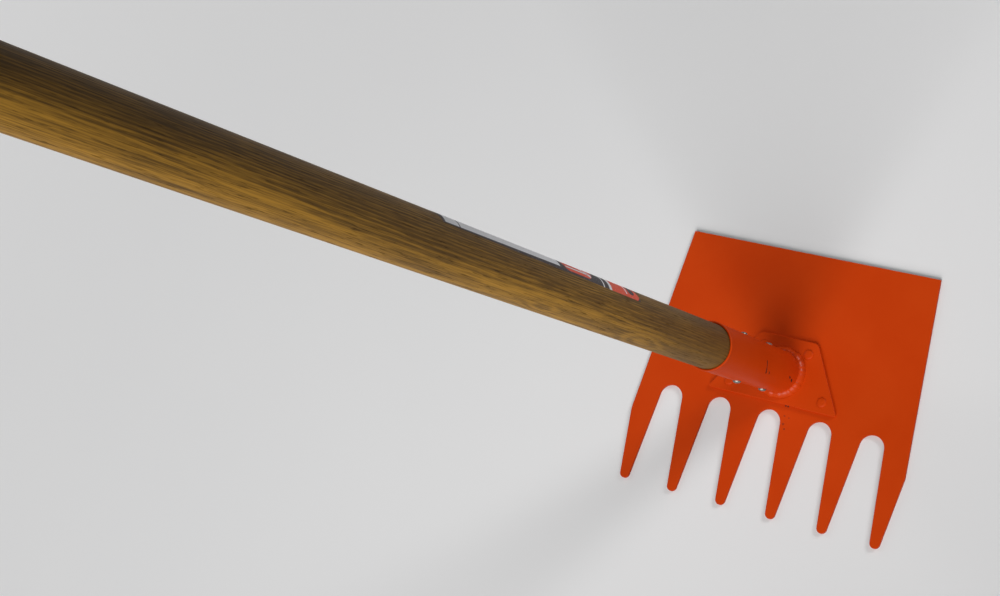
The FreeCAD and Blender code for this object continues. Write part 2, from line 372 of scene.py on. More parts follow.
@dataclass(frozen=True)
class HandleWood:
    """Dark oiled hardwood: fine growth rings cut lengthwise, short open pores and a dull oil."""

    early: tuple = (0.520, 0.262, 0.030)
    late: tuple = (0.120, 0.060, 0.010)
    pore: tuple = (0.040, 0.020, 0.005)
    pore_depth: float = 0.08 * MM
    # painted light and shade: Y limits over which the wood turns from lighter on the −Y side, facing the key
    # light, to darker on the +Y side
    painted_side_shade: tuple = (-18 * MM, 6 * MM)
    # painted shade: dark brown that the wood turns towards the socket, between the two heights below
    socket_shade: tuple = (0.085, 0.046, 0.014)
    socket_shade_heights: tuple = (430 * MM, 190 * MM)
    ring_width: float = 1.9 * MM
    ring_drift: float = 7 * MM
    ring_sway: float = 1.6 * MM
    pith: tuple = (46 * MM, -62 * MM, 0)
    figures: tuple = ((497 * MM, -56.0, 16 * MM), (330 * MM, -66.0, 26 * MM))
    figure_squash: float = 0.35

    def make(self) -> Coat:
        """Cut the grain, with a wavy figure wherever a knot lies under the surface.

        Returns:
            The wood.
        """
        recipe = Recipe("handle_wood")
        place = recipe.place(turn=(-LEAN, 0, 0))

        def streaks(stretch: float, scale: float, detail: float, roughness: float = 0.5) -> Wire:
            """Noise drawn out along the handle."""
            return recipe.noise(recipe.map(place, scale=(1, 1, stretch)), scale, detail, roughness)

        drift = streaks(0.08, 30.0, 2.0)
        sway = streaks(0.05, 160.0, 3.0)
        centred = recipe.map(place, shift=self.pith, scale=(1, 1, 0))
        radius = recipe.distance(centred, (0, 0, 0)) + drift * self.ring_drift + sway * self.ring_sway
        squashed = recipe.map(place, scale=(1, 1, self.figure_squash))
        for height, angle, size in self.figures:
            turn = math.radians(angle)
            knot = (HANDLE_RADIUS * math.cos(turn), HANDLE_RADIUS * math.sin(turn),
                    height * self.figure_squash)
            radius = radius + recipe.distance(squashed, knot).between(size * 0.7, 0.0) * (size * 0.13)
        rings = (radius * (2 * math.pi / self.ring_width)).wave()
        fibre = streaks(0.022, 1300.0, 3.0, 0.6)
        pores = streaks(0.07, 950.0, 2.0).between(0.58, 0.70)
        wide = streaks(0.12, 70.0, 3.0)
        late = rings * 0.26 + fibre.between(0.34, 0.68) * 0.38 + wide.between(0.3, 0.7) * 0.24
        # Painted light and shade: the wood is lighter towards −Y, the lit side, and darker towards +Y, the
        # side away from the key light, with a little noise on the change
        shaded_side = recipe.axis(place, "Y") + (wide - 0.5) * (10 * MM)
        late = late + shaded_side.between(*self.painted_side_shade) * 0.30
        colour = recipe.blend(late.between(0.05, 1.0), self.early, self.late)
        colour = recipe.blend(pores * (0.30 + rings * 0.35), colour, self.pore)
        # Painted shade: the wood darkens towards the socket, offsetting the head light's brightening there
        socket_shade_share = recipe.axis(place, "Z").between(*self.socket_shade_heights)
        colour = recipe.blend(socket_shade_share * 0.68, colour, self.socket_shade)
        normal = recipe.bump(fibre * 0.5 + (1.0 - pores) * 0.5, self.pore_depth, 0.5)
        return recipe.finish(Base_Color=colour, Roughness=fibre * 0.10 + 0.44 + pores * 0.2,
                             Normal=normal, Specular_IOR_Level=0.20, Coat_Weight=0.02,
                             Coat_Roughness=0.35)


@dataclass(frozen=True)
class RivetSteel:
    """Bright zinc-plated steel, dimpled by the hammer and dull in clouds."""

    bright: tuple = (0.42, 0.42, 0.38)
    dull: tuple = (0.11, 0.10, 0.09)
    cloud_size: float = 1.8 * MM
    dimple_size: float = 1.2 * MM
    dimple_depth: float = 0.25 * MM

    def make(self) -> Coat:
        """Plate the steel.

        Returns:
            The zinc.
        """
        recipe = Recipe("rivet_steel")
        place = recipe.place()
        cloud = recipe.noise(place, 1 / self.cloud_size, detail=4.0)
        dimple = recipe.noise(place, 1 / self.dimple_size, detail=1.0)
        colour = recipe.blend(cloud.between(0.35, 0.75), self.bright, self.dull)
        return recipe.finish(Base_Color=colour, Metallic=0.90, Roughness=cloud * 0.25 + 0.36,
                             Normal=recipe.bump(dimple, self.dimple_depth, 0.7))


@dataclass(frozen=True)
class Bar:
    """A round-cornered bar on the label: its middle along and across it, and its half sizes."""

    along: float
    across: float
    half_length: float
    half_width: float

    def mask(self, along: Wire, across: Wire) -> Wire:
        """Find what lies in the bar.

        Args:
            along: distance down the handle.
            across: distance round it.

        Returns:
            1 inside the bar and 0 outside.
        """
        corner = self.half_width * 0.6
        reach = (abs(along - self.along) - (self.half_length - corner)).larger(0.0)
        rise = (abs(across - self.across) - (self.half_width - corner)).larger(0.0)
        return ((reach ** 2.0 + rise ** 2.0) ** 0.5).between(corner, corner - 0.3 * MM)


def stroke(across: Wire, middle: float, half_width: float) -> Wire:
    """A straight stripe: 1 near a middle value and 0 away from it."""
    return abs(across - middle).between(half_width + 0.25 * MM, half_width - 0.15 * MM)


@dataclass(frozen=True)
class LabelPrint:
    """Generic printed film: a silver panel, a charcoal field and two red-orange shapes."""

    silver: tuple = (0.95, 0.95, 0.98)
    charcoal: tuple = (0.060, 0.046, 0.050)
    red: tuple = (0.90, 0.110, 0.050)
    fleck_size: float = 1.5 * MM
    badge: Bar = Bar(190 * MM, 15.5 * MM, 22.5 * MM, 13.2 * MM)
    tag: Bar = Bar(266 * MM, 14 * MM, 26 * MM, 15 * MM)
    hollow: Bar = Bar(278 * MM, 10.5 * MM, 5.5 * MM, 7.0 * MM)

    def make(self) -> Coat:
        """Print the label on its own UV map: U runs down the handle in metres, V round it.

        Returns:
            The print.
        """
        recipe = Recipe("label_film")
        sheet = recipe.node("ShaderNodeUVMap", {"uv_map": Label.UV_NAME})
        along = recipe.axis(sheet, "X")
        across = recipe.axis(sheet, "Y")
        slant = along - across * 0.4
        fleck = recipe.noise(recipe.place(), 1 / self.fleck_size, detail=3.0)
        badge = self.badge.mask(slant, across)
        gleam = stroke(slant + across * 2.2, 222 * MM, 5 * MM) * badge * fleck.between(0.42, 0.52)
        rim = stroke(across, 6.9 * MM, 0.8 * MM) * stroke(slant, 187 * MM, 16 * MM) * badge
        stripes = stroke(slant, 229 * MM, 0.9 * MM).larger(stroke(slant, 240 * MM, 2.2 * MM))
        tag = self.tag.mask(slant, across)
        tag = tag.larger(slant.between(242 * MM, 242.5 * MM) * slant.between(268 * MM, 267 * MM))
        line = stroke(slant, 268.5 * MM, 0.9 * MM) * across.between(2.4 * MM, 2.8 * MM)
        colour = recipe.blend(self._panel(slant, along, across), self.charcoal, self.silver)
        colour = recipe.blend(badge, colour, self.red)
        colour = recipe.blend(tag, colour, self.red)
        colour = recipe.blend(self.hollow.mask(slant, across), colour, self.charcoal)
        colour = recipe.blend(stripes.larger(gleam).larger(rim).larger(line), colour, self.silver)
        colour = recipe.blend(fleck.between(0.5, 0.8) * 0.2, colour, self.silver)
        return recipe.finish(Base_Color=colour, Roughness=fleck * 0.2 + 0.40,
                             Specular_IOR_Level=0.25, Normal=recipe.bump(fleck, 0.02 * MM, 0.5))

    @staticmethod
    def _panel(slant: Wire, along: Wire, across: Wire) -> Wire:
        """Find what lies in the silver panel, with its thin border and its divider.

        Args:
            slant: distance along the label's slanted lines.
            along: distance down the handle.
            across: distance round it.

        Returns:
            1 inside the panel and 0 outside.
        """
        border = across - along * 0.015
        panel = slant.between(2.2 * MM, 3 * MM) * slant.between(161 * MM, 160 * MM)
        panel = panel * border.between(0.9 * MM, 1.3 * MM) * across.between(33.4 * MM, 33 * MM)
        return panel * (1.0 - stroke(slant, 21 * MM, 0.6 * MM))


@dataclass(frozen=True)
class FloorTone:
    """A plain pale floor that bounces only a little light back but still shows in reflections."""

    colour: tuple = (0.86, 0.86, 0.86)
    shade: tuple = (0.83, 0.83, 0.835)
    bounce: tuple = (0.30, 0.30, 0.30)
    mirrored: float = 0.45

    def make(self) -> bpy.types.Material:
        """Mix the floor's tone.

        Returns:
            The floor's material.
        """
        recipe = Recipe("floor")
        cloud = recipe.noise(recipe.place(), 3.0, detail=3.0)
        seen = recipe.node("ShaderNodeBsdfDiffuse", None, {0: recipe.blend(cloud, self.colour, self.shade)})
        bounced = recipe.node("ShaderNodeBsdfDiffuse", None, {0: (*self.bounce, 1.0)})
        camera = recipe.node("ShaderNodeLightPath", output="Is Camera Ray")
        glossy = recipe.node("ShaderNodeLightPath", output="Is Glossy Ray")
        share = camera.larger(glossy * self.mirrored)
        surface = recipe.node("ShaderNodeMixShader", None, {0: share, 1: bounced, 2: seen})
        recipe.node("ShaderNodeOutputMaterial", None, {"Surface": surface})
        return recipe.material


# ---- hand tools --------

class Pick(Enum):
    """What a selection is made of."""

    VERTS = "VERT"
    EDGES = "EDGE"
    FACES = "FACE"


def only(piece: Piece) -> None:
    """Select one piece and nothing else.

    Args:
        piece: the piece.
    """
    bpy.ops.object.select_all(action="DESELECT")
    piece.select_set(True)
    bpy.context.view_layer.objects.active = piece


class Bench:
    """Holds one piece in edit mode while it is shaped."""

    def __init__(self, piece: Piece) -> None:
        """Keep the piece to be shaped."""
        self.piece = piece

    def __enter__(self) -> "Bench":
        """Put the piece in edit mode.

        Returns:
            The bench itself.
        """
        only(self.piece)
        bpy.ops.object.mode_set(mode="EDIT")
        return self

    def __exit__(self, *_: object) -> None:
        """Take it out again."""
        bpy.ops.object.mode_set(mode="OBJECT")

    def pick_all(self) -> None:
        """Select everything."""
        bpy.ops.mesh.select_all(action="SELECT")

    def pick(self, kind: Pick, test: Callable[[Vector], bool]) -> None:
        """Select the elements whose middle passes a test.

        Args:
            kind: vertices, edges or faces.
            test: says yes or no to a middle point.
        """
        bpy.ops.mesh.select_mode(type=kind.value)
        bpy.ops.mesh.select_all(action="DESELECT")
        mesh = bmesh.from_edit_mesh(self.piece.data)
        elements = {Pick.VERTS: mesh.verts, Pick.EDGES: mesh.edges, Pick.FACES: mesh.faces}[kind]
        for element in elements:
            element.select_set(test(self._middle(element)))
        bmesh.update_edit_mesh(self.piece.data)

    @staticmethod
    def _middle(element: bmesh.types.BMVert | bmesh.types.BMEdge | bmesh.types.BMFace) -> Vector:
        """The middle point of a vertex, edge or face."""
        points = [vertex.co for vertex in getattr(element, "verts", [element])]
        return sum(points, Vector()) / len(points)

    def slice(self, point: Vector, outward: Vector) -> None:
        """Saw off everything beyond a plane and close the cut.

        Args:
            point: a point on the plane.
            outward: the direction of the waste.
        """
        self.pick_all()
        bpy.ops.mesh.bisect(plane_co=point, plane_no=outward, use_fill=True, clear_outer=True)

    def weld(self, gap: float = TOUCHING) -> None:
        """Merge doubles and turn every face outwards.

        Args:
            gap: how close two doubles are.
        """
        self.pick_all()
        bpy.ops.mesh.remove_doubles(threshold=gap)
        bpy.ops.mesh.normals_make_consistent(inside=False)


def settle(piece: Piece) -> None:
    """Put a piece's place into its mesh."""
    only(piece)
    bpy.ops.object.transform_apply(location=True, rotation=True, scale=True)


def apply_modifier(piece: Piece, kind: str, **settings: object) -> None:
    """Add one modifier and apply it at once.

    Args:
        piece: the piece.
        kind: the modifier's type.
        settings: its settings.
    """
    only(piece)
    modifier = piece.modifiers.new(kind.lower(), kind)
    for key, value in settings.items():
        setattr(modifier, key, value)
    bpy.ops.object.modifier_apply(modifier=modifier.name)


def join(pieces: Sequence[Piece], name: str) -> Piece:
    """Join several objects into one.

    Args:
        pieces: the objects.
        name: the joined piece's name.

    Returns:
        The joined piece.
    """
    only(pieces[0])
    for piece in pieces[1:]:
        piece.select_set(True)
    bpy.ops.object.join()
    pieces[0].name = name
    return pieces[0]


def copy_of(piece: Piece, move: Matrix) -> Piece:
    """Copy a piece with its own mesh.

    Args:
        piece: the piece to copy.
        move: how the copy is moved or shaped.

    Returns:
        The copy.
    """
    twin = piece.copy()
    twin.data = piece.data.copy()
    bpy.context.scene.collection.objects.link(twin)
    twin.data.transform(move)
    return twin


def cut_away(piece: Piece, cutter: Piece) -> None:
    """Cut one closed shape out of another and throw the cutter away."""
    apply_modifier(piece, "BOOLEAN", operation="DIFFERENCE", object=cutter, solver="EXACT")
    bpy.data.objects.remove(cutter)


def start(operator: Callable[..., object], name: str, **settings: object) -> Piece:
    """Start a piece from one of Blender's primitives.

    Args:
        operator: the operator that adds it.
        name: the piece's name.
        settings: the operator's settings.

    Returns:
        The new piece.
    """
    bpy.ops.object.select_all(action="DESELECT")
    operator(**settings)
    piece = bpy.context.active_object
    piece.name = name
    return piece


def block(name: str, low: Vector, high: Vector) -> Piece:
    """Start a piece as a block.

    Args:
        name: the piece's name.
        low: its lower corner.
        high: its upper corner.

    Returns:
        The block.
    """
    piece = start(bpy.ops.mesh.primitive_cube_add, name, size=1.0, location=(low + high) / 2)
    piece.scale = high - low
    settle(piece)
    return piece


def arc(middle: Ring, radius: float, first: int, steps: int, start: float = 0.0) -> list[Ring]:
    """Round off an edge of a turned piece with a quarter circle.

    Args:
        middle: the circle's middle, as (radius, height).
        radius: the circle's own radius.
        first: the first step that is kept.
        steps: how many steps the quarter has.
        start: where the quarter starts: 0 is outermost and 1 is on top.

    Returns:
        The (radius, height) of each ring.
    """
    turns = [math.pi / 2 * (start + step / steps) for step in range(first, steps + 1)]
    return [(middle[0] + radius * math.cos(turn), middle[1] + radius * math.sin(turn)) for turn in turns]


def turned(name: str, rings: Sequence[Ring], sides: int, capped: bool = True) -> Piece:
    """Turn a round piece on the Z axis, ring upon ring.

    Args:
        name: the piece's name.
        rings: (radius, height) of each ring, from the foot up.
        sides: how many sides a ring has.
        capped: close the first and the last ring.

    Returns:
        The turned piece, with its doubles merged and its faces outwards.
    """
    radius, height = rings[0]
    piece = start(bpy.ops.mesh.primitive_circle_add, name, vertices=sides, radius=radius,
                  fill_type="NOTHING")
    with Bench(piece) as bench:
        bench.pick_all()
        bpy.ops.transform.translate(value=(0, 0, height))
        if capped:
            bpy.ops.mesh.edge_face_add()
            bpy.ops.mesh.select_mode(type="EDGE")
        for next_radius, next_height in rings[1:]:
            rise = (0, 0, next_height - height)
            bpy.ops.mesh.extrude_edges_move(TRANSFORM_OT_translate={"value": rise})
            scale = next_radius / radius
            bpy.ops.transform.resize(value=(scale, scale, 1), center_override=(0, 0, next_height))
            radius, height = next_radius, next_height
        if capped:
            bpy.ops.mesh.edge_face_add()
        bench.weld()
    return piece


def lean(piece: Piece) -> None:
    """Lean an upright piece onto the handle's axis."""
    piece.data.transform(LEAN_MATRIX)


def smooth(piece: Piece, angle: float = 35.0) -> None:
    """Shade a piece smooth, with flat faces kept flat.

    Args:
        piece: the piece.
        angle: edges above this angle, in degrees, stay sharp.
    """
    only(piece)
    bpy.ops.object.shade_smooth_by_angle(angle=math.radians(angle))
    apply_modifier(piece, "WEIGHTED_NORMAL", keep_sharp=True, weight=60)


def hand_over(piece: Piece, node: str, coat: Coat) -> None:
    """Dress a finished piece and let it stand for its CAD node.

    Args:
        piece: the finished piece.
        node: the CAD node that it stands for.
        coat: its finish.
    """
    piece.data.materials.clear()
    piece.data.materials.append(coat.material)
    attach(piece, "root")
    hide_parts(node)
    LOG.info("%s: %d faces", piece.name, len(piece.data.polygons))


# ---- the steel head --------

@dataclass
class Head:
    """The blade, its reinforcing plate and the four rivets that hold them together."""

    tine_count: int = 6
    tine_pitch: float = 51.5 * MM
    tine_half_angle: float = math.radians(6.15)
    tip_radius: float = 4.8 * MM
    tip_share: float = 0.995
    tip_gap: float = 0.08 * MM
    root_radius: float = 12.0 * MM
    shoulder_y: float = -67.7 * MM
    hoe_edge_width: float = 250.6 * MM
    hoe_corner_radius: float = 4.0 * MM
    hoe_bevel_depth: float = 7.0 * MM
    hoe_edge_land: float = 1.0 * MM
    edge_round: float = 0.45 * MM
    plate_top_half_width: float = 29.0 * MM
    plate_foot_right: float = 64.3 * MM
    plate_foot_left: float = 67.3 * MM
    plate_corner_radius: float = 3.0 * MM
    plate_edge_round: float = 0.4 * MM
    rivet_shank_radius: float = 3.0 * MM
    rivet_sink_depth: float = 1.6 * MM
    rivet_shank_gap: float = 0.03 * MM
    rivet_count: int = 4
    slack: float = 2.0 * MM
    hole_slack: float = 0.5 * MM

    def __post_init__(self) -> None:
        """Take the places of blade, plate and rivets from the frame."""
        self.low, self.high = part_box("blade")
        self.plate_low, self.plate_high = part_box("reinforcing_plate")
        self.tip_y = self.low.y + self.tip_radius
        self.apex_y = self.tip_y - self.tip_radius / math.sin(self.tine_half_angle)
        half_pitch = self.tine_pitch / 2
        self.slot_apex_y = self.apex_y + half_pitch / math.tan(self.tine_half_angle)
        self.outer_x = (self.tine_count - 1) * half_pitch
        reach = self.shoulder_y - self.apex_y
        self.shoulder_x = self.outer_x + reach * math.tan(self.tine_half_angle)

    def build(self, paint: Coat) -> None:
        """Build and dress the whole head.

        Args:
            paint: the orange paint.
        """
        hand_over(self.blade(), "blade", paint)
        hand_over(self.plate(), "reinforcing_plate", paint)
        for node in self._rivet_nodes():
            hand_over(self.rivet(node), node, paint)

    def _rivet_nodes(self) -> list[str]:
        """The CAD nodes of the plate rivets."""
        return [f"plate_rivet_{number}" for number in range(1, self.rivet_count + 1)]

    def blade(self) -> Piece:
        """Saw the blade from a block: outline, tines, rounded rim and rivet holes.

        Returns:
            The blade.
        """
        piece = block("painted_blade", Vector((-self.shoulder_x, self.low.y, self.low.z)),
                      Vector((self.shoulder_x, self.high.y, self.high.z)))
        thick = self.high.z - self.low.z
        with Bench(piece) as bench:
            for side in (-1, 1):
                shoulder = Vector((side * self.shoulder_x, self.shoulder_y, 0))
                lean_in = self.shoulder_x - self.hoe_edge_width / 2
                rise = self.high.y - self.shoulder_y
                bench.slice(shoulder, Vector((side * rise, lean_in, 0)))
                tine_side = Vector((side * math.cos(self.tine_half_angle),
                                    -math.sin(self.tine_half_angle), 0))
                bench.slice(shoulder, tine_side)
            bench.slice(Vector((0, self.high.y - self.hoe_bevel_depth, self.low.z)),
                        Vector((0, thick - self.hoe_edge_land, -self.hoe_bevel_depth)))
            corner = Vector((self.hoe_edge_width / 2, self.high.y, 0))
            bench.pick(Pick.EDGES, lambda p: abs(p.y - corner.y) < CLOSE
                       and abs(abs(p.x) - corner.x) < CLOSE)
            bpy.ops.mesh.bevel(offset=self.hoe_corner_radius, segments=8, profile=0.5)
        cut_away(piece, self._slots())
        with Bench(piece) as bench:
            bench.weld()
            bench.pick(Pick.EDGES, lambda p: abs(p.y - self.low.y) < CLOSE
                       and abs(p.z - thick / 2) < CLOSE)
            width = (self.low.y - self.apex_y) * math.tan(self.tine_half_angle)
            bpy.ops.mesh.bevel(offset=width * self.tip_share, segments=9, profile=0.5)
            bench.weld(self.tip_gap)
        apply_modifier(piece, "BEVEL", width=self.edge_round, segments=3, limit_method="ANGLE",
                       angle_limit=math.radians(40), use_clamp_overlap=False)
        cut_away(piece, self._rivet_holes())
        with Bench(piece) as bench:
            bench.weld()
        smooth(piece)
        return piece

    def _slots(self) -> Piece:
        """Shape one cutter for the slots between the tines: round roots that widen to the mouth.

        Returns:
            The cutter.
        """
        root_y = self.slot_apex_y - self.root_radius / math.sin(self.tine_half_angle)
        thick = self.high.z - self.low.z
        slot = start(bpy.ops.mesh.primitive_cylinder_add, "slot", vertices=96, radius=self.root_radius,
                     depth=thick + 2 * self.slack, location=(0, root_y, thick / 2))
        settle(slot)
        tangent_y = root_y + self.root_radius * math.sin(self.tine_half_angle)
        mouth_y = self.low.y - self.slack
        with Bench(slot) as bench:
            bench.slice(Vector((0, tangent_y, 0)), Vector((0, -1, 0)))
            bench.pick(Pick.FACES, lambda p: abs(p.y - tangent_y) < TOUCHING)
            bpy.ops.mesh.extrude_region_move(TRANSFORM_OT_translate={"value": (0, mouth_y - tangent_y, 0)})
            widen = (self.slot_apex_y - mouth_y) / (self.slot_apex_y - tangent_y)
            bpy.ops.transform.resize(value=(widen, 1, 1), center_override=(0, mouth_y, 0))
            bench.weld()
        middle = (self.tine_count - 2) / 2
        copies = [copy_of(slot, Matrix.Translation(((number - middle) * self.tine_pitch, 0, 0)))
                  for number in range(self.tine_count - 1)]
        bpy.data.objects.remove(slot)
        return join(copies, "slots")

    def _rivet_holes(self) -> Piece:
        """Shape one cutter for the four countersunk rivet holes.

        Returns:
            The cutter.
        """
        slack = self.hole_slack
        low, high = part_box(self._rivet_nodes()[0])
        sink = (high.x - low.x) / 2
        slope = (sink - self.rivet_shank_radius) / self.rivet_sink_depth
        rings = [(sink + slope * slack, -slack), (self.rivet_shank_radius, self.rivet_sink_depth),
                 (self.rivet_shank_radius, self.plate_high.z + slack)]
        hole = turned("hole", rings, 32)
        copies = []
        for node in self._rivet_nodes():
            low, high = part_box(node)
            middle = (low + high) / 2
            copies.append(copy_of(hole, Matrix.Translation((middle.x, middle.y, self.low.z))))
        bpy.data.objects.remove(hole)
        return join(copies, "holes")

    def plate(self) -> Piece:
        """Shape the trapezoidal reinforcing plate, with rounded corners and a rounded rim.

        Returns:
            The plate.
        """
        low = self.plate_low
        high = self.plate_high
        piece = block("painted_plate", Vector((-self.plate_foot_left, low.y, low.z)),
                      Vector((self.plate_foot_right, high.y, high.z)))
        with Bench(piece) as bench:
            bench.pick(Pick.VERTS, lambda p: p.y > high.y - CLOSE)
            narrow = 2 * self.plate_top_half_width / (self.plate_foot_left + self.plate_foot_right)
            pivot = (narrow * self.plate_foot_left - self.plate_top_half_width) / (1 - narrow)
            bpy.ops.transform.resize(value=(narrow, 1, 1), center_override=(pivot, high.y, 0))
            middle = (low.z + high.z) / 2
            bench.pick(Pick.EDGES, lambda p: abs(p.z - middle) < CLOSE)
            bpy.ops.mesh.bevel(offset=self.plate_corner_radius, segments=6, profile=0.5)
            bench.pick(Pick.EDGES, lambda p: p.z > high.z - TOUCHING)
            bpy.ops.mesh.bevel(offset=self.plate_edge_round, segments=4, profile=0.5)
        cut_away(piece, self._rivet_holes())
        with Bench(piece) as bench:
            bench.weld()
        smooth(piece)
        return piece

    def rivet(self, node: str) -> Piece:
        """Turn one plate rivet: tail flush in its countersink, shank, and a low button head.

        Args:
            node: the CAD node that gives the rivet's place.

        Returns:
            The rivet.
        """
        low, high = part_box(node)
        radius = (high.x - low.x) / 2
        seat = self.plate_high.z
        rise = high.z - seat
        shank = self.rivet_shank_radius - self.rivet_shank_gap
        rings = [(radius - 0.12 * MM, low.z + 0.02 * MM), (radius - 0.05 * MM, low.z + 0.1 * MM),
                 (shank, self.rivet_sink_depth), (shank, seat), (radius, seat)]
        for step in range(1, 9):
            turn = step / 8 * math.pi / 2
            rings.append((radius * max(math.cos(turn) ** 0.45, 0.05), seat + rise * math.sin(turn) ** 0.9))
        piece = turned(f"painted_{node}", rings, 40)
        middle = (low + high) / 2
        piece.data.transform(Matrix.Translation(Vector((middle.x, middle.y, 0))))
        smooth(piece, 50.0)
        return piece


# ---- socket, weld and handle rivets --------

@dataclass
class Ferrule:
    """The tapering socket, the weld round its foot and the two rivets through it."""

    mouth_height: float = 180.0 * MM
    bore_mouth_radius: float = 20.05 * MM
    bore_foot_radius: float = 18.6 * MM
    wall: float = 1.7 * MM
    lip_radius: float = 21.95 * MM
    lip_height: float = 4.0 * MM
    lip_round: float = 0.8 * MM
    sides: int = 96
    seed: int = 11
    ripple_count: int = 30
    spatter_count: int = 14
    voxel: float = 0.32 * MM
    melt_steps: int = 34
    fused_depth: float = 1.2 * MM
    core_reach: float = 30.0 * MM
    rivet_heights: tuple = (44.5 * MM, 106.5 * MM)
    rivet_turn: float = 7.0
    rivet_head_radius: float = 3.8 * MM
    rivet_head_height: float = 2.0 * MM
    rivet_head_sunk: float = 0.25 * MM
    rivet_shank_radius: float = 2.97 * MM

    def __post_init__(self) -> None:
        """Take the height of the plate under the socket from the frame."""
        self.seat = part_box("reinforcing_plate")[1].z

    def build(self, paint: Coat, steel: Coat) -> None:
        """Build and dress socket, weld and rivets.

        Args:
            paint: the orange paint.
            steel: the rivets' zinc.
        """
        hand_over(self.socket(), "socket", paint)
        hand_over(self.weld(), "weld_bead", paint)
        for number, height in enumerate(self.rivet_heights, start=1):
            hand_over(self.rivet(f"zinc_handle_rivet_{number}", height), f"handle_rivet_{number}", steel)

    def _bore(self, height: float) -> float:
        """The bore's radius at a height along the handle's axis."""
        share = height / self.mouth_height
        return self.bore_foot_radius + share * (self.bore_mouth_radius - self.bore_foot_radius)

    def _outside(self, height: float) -> float:
        """The outer radius at a height along the handle's axis."""
        return self._bore(height) + self.wall

    def socket(self) -> Piece:
        """Turn the socket: up the outside, over the rounded lip, down the bore.

        Returns:
            The socket.
        """
        top = self.mouth_height
        swell = top - self.lip_height / 2
        lip_middle = top - self.lip_round
        heights = self._steps(self.seat, top - self.lip_height, 12)
        rings = [(self._outside(height), height) for height in heights]
        rings += [(self.lip_radius - 0.12 * MM, swell - 0.5 * MM), (self.lip_radius, swell)]
        rings += arc((self.lip_radius - self.lip_round, lip_middle), self.lip_round, 0, 6)
        rings += arc((self._bore(top) + self.lip_round, lip_middle), self.lip_round, 1, 6, start=1.0)
        heights = self._steps(self.seat, top - 3 * MM, 6)
        rings += [(self._bore(height), height) for height in reversed(heights)]
        rings.append(rings[0])
        piece = turned("painted_socket", rings, self.sides, capped=False)
        with Bench(piece) as bench:
            bench.pick(Pick.VERTS, lambda p: p.z < self.seat + TOUCHING)
            bpy.ops.transform.rotate(value=LEAN, orient_axis="X", center_override=(0, 0, self.seat))
        lean(piece)
        smooth(piece)
        return piece

    @staticmethod
    def _steps(start: float, end: float, count: int) -> list[float]:
        """Evenly spaced heights from start to end."""
        return [start + (end - start) * number / (count - 1) for number in range(count)]

    def weld(self) -> Piece:
        """Lay the weld as overlapping puddles round the socket's foot, then melt them together.

        Returns:
            The weld.
        """
        dice = random.Random(self.seed)
        foot = self._outside(self.seat)
        ball = start(bpy.ops.mesh.primitive_uv_sphere_add, "ball", segments=20, ring_count=12,
                     radius=1.0)
        shapes = []
        for number in range(self.ripple_count):
            turn = 2 * math.pi * (number + dice.uniform(-0.25, 0.25)) / self.ripple_count
            swell = 0.98 + 0.24 * math.cos(turn + math.radians(28)) + dice.uniform(-0.13, 0.13)
            size = Vector((3.5 * swell, 5.6 + dice.uniform(-1.4, 1.4), 4.9 * swell)) * MM
            centre = Vector((foot + (0.2 + 0.30 * swell) * MM, 0, self.seat + 0.2 * MM))
            tilt = Matrix.Rotation(math.radians(-16 + dice.uniform(-6, 6)), 4, "Y")
            shape = Matrix.Translation(centre) @ tilt @ Matrix.Diagonal((*size, 1.0))
            shapes.append(Matrix.Rotation(turn, 4, "Z") @ shape)
        for _ in range(self.ripple_count // 3):
            turn = 2 * math.pi * dice.random()
            size = dice.uniform(1.0, 1.6) * MM
            rise = dice.uniform(1.0, 2.6) * MM
            centre = Vector((foot + dice.uniform(0.6, 1.6) * MM, 0, self.seat + rise))
            shape = Matrix.Translation(centre) @ Matrix.Diagonal((size, 1.5 * size, size, 1.0))
            shapes.append(Matrix.Rotation(turn, 4, "Z") @ shape)
        for _ in range(self.spatter_count):
            turn = math.radians(dice.uniform(20, 140))
            reach = foot + dice.uniform(4.5, 7.0) * MM
            size = dice.uniform(0.35, 0.65) * MM
            centre = Vector((reach * math.cos(turn), reach * math.sin(turn), self.seat))
            shapes.append(Matrix.Translation(centre) @ Matrix.Scale(size, 4))
        piece = join([copy_of(ball, shape) for shape in shapes], "painted_weld_bead")
        bpy.data.objects.remove(ball)
        apply_modifier(piece, "REMESH", mode="VOXEL", voxel_size=self.voxel)
        self._trim(piece)
        apply_modifier(piece, "REMESH", mode="VOXEL", voxel_size=self.voxel)
        apply_modifier(piece, "SMOOTH", factor=0.5, iterations=self.melt_steps)
        only(piece)
        bpy.ops.object.shade_smooth()
        return piece

    def _trim(self, piece: Piece) -> None:
        """Cut off what lies deep inside the plate and the socket, past the fused skin.

        Args:
            piece: the weld.
        """
        reach = self.core_reach
        core = turned("core", [(self._outside(height) - self.fused_depth, height)
                               for height in (-reach, reach)], self.sides)
        lean(core)
        cut_away(piece, core)
        cut_away(piece, block("slab", Vector((-reach, -reach, -reach)),
                              Vector((reach, reach, self.seat - self.fused_depth))))

    def rivet(self, name: str, height: float) -> Piece:
        """Turn one rivet that goes right through, with a hammered dome on each end.

        Args:
            name: the piece's name.
            height: its height along the handle's axis.

        Returns:
            The rivet.
        """
        seat = self._outside(height) - self.rivet_head_sunk
        rise = self.rivet_head_height + self.rivet_head_sunk
        dome = []
        for step in range(0, 8):
            turn = step / 8 * math.pi / 2
            dome.append((self.rivet_head_radius * math.cos(turn) ** 0.75, seat + rise * math.sin(turn)))
        dome.append((0.35 * MM, seat + rise))
        rings = [(radius, -reach) for radius, reach in reversed(dome)]
        rings += [(self.rivet_shank_radius, -seat), (self.rivet_shank_radius, seat)] + dome
        piece = turned(name, rings, 32)
        across = Matrix.Rotation(-math.pi / 2, 4, "X")
        turn = Matrix.Rotation(math.radians(self.rivet_turn), 4, "Z")
        piece.data.transform(Matrix.Translation((0, 0, height)) @ turn @ across)
        lean(piece)
        smooth(piece, 50.0)
        return piece


# ---- handle and label --------

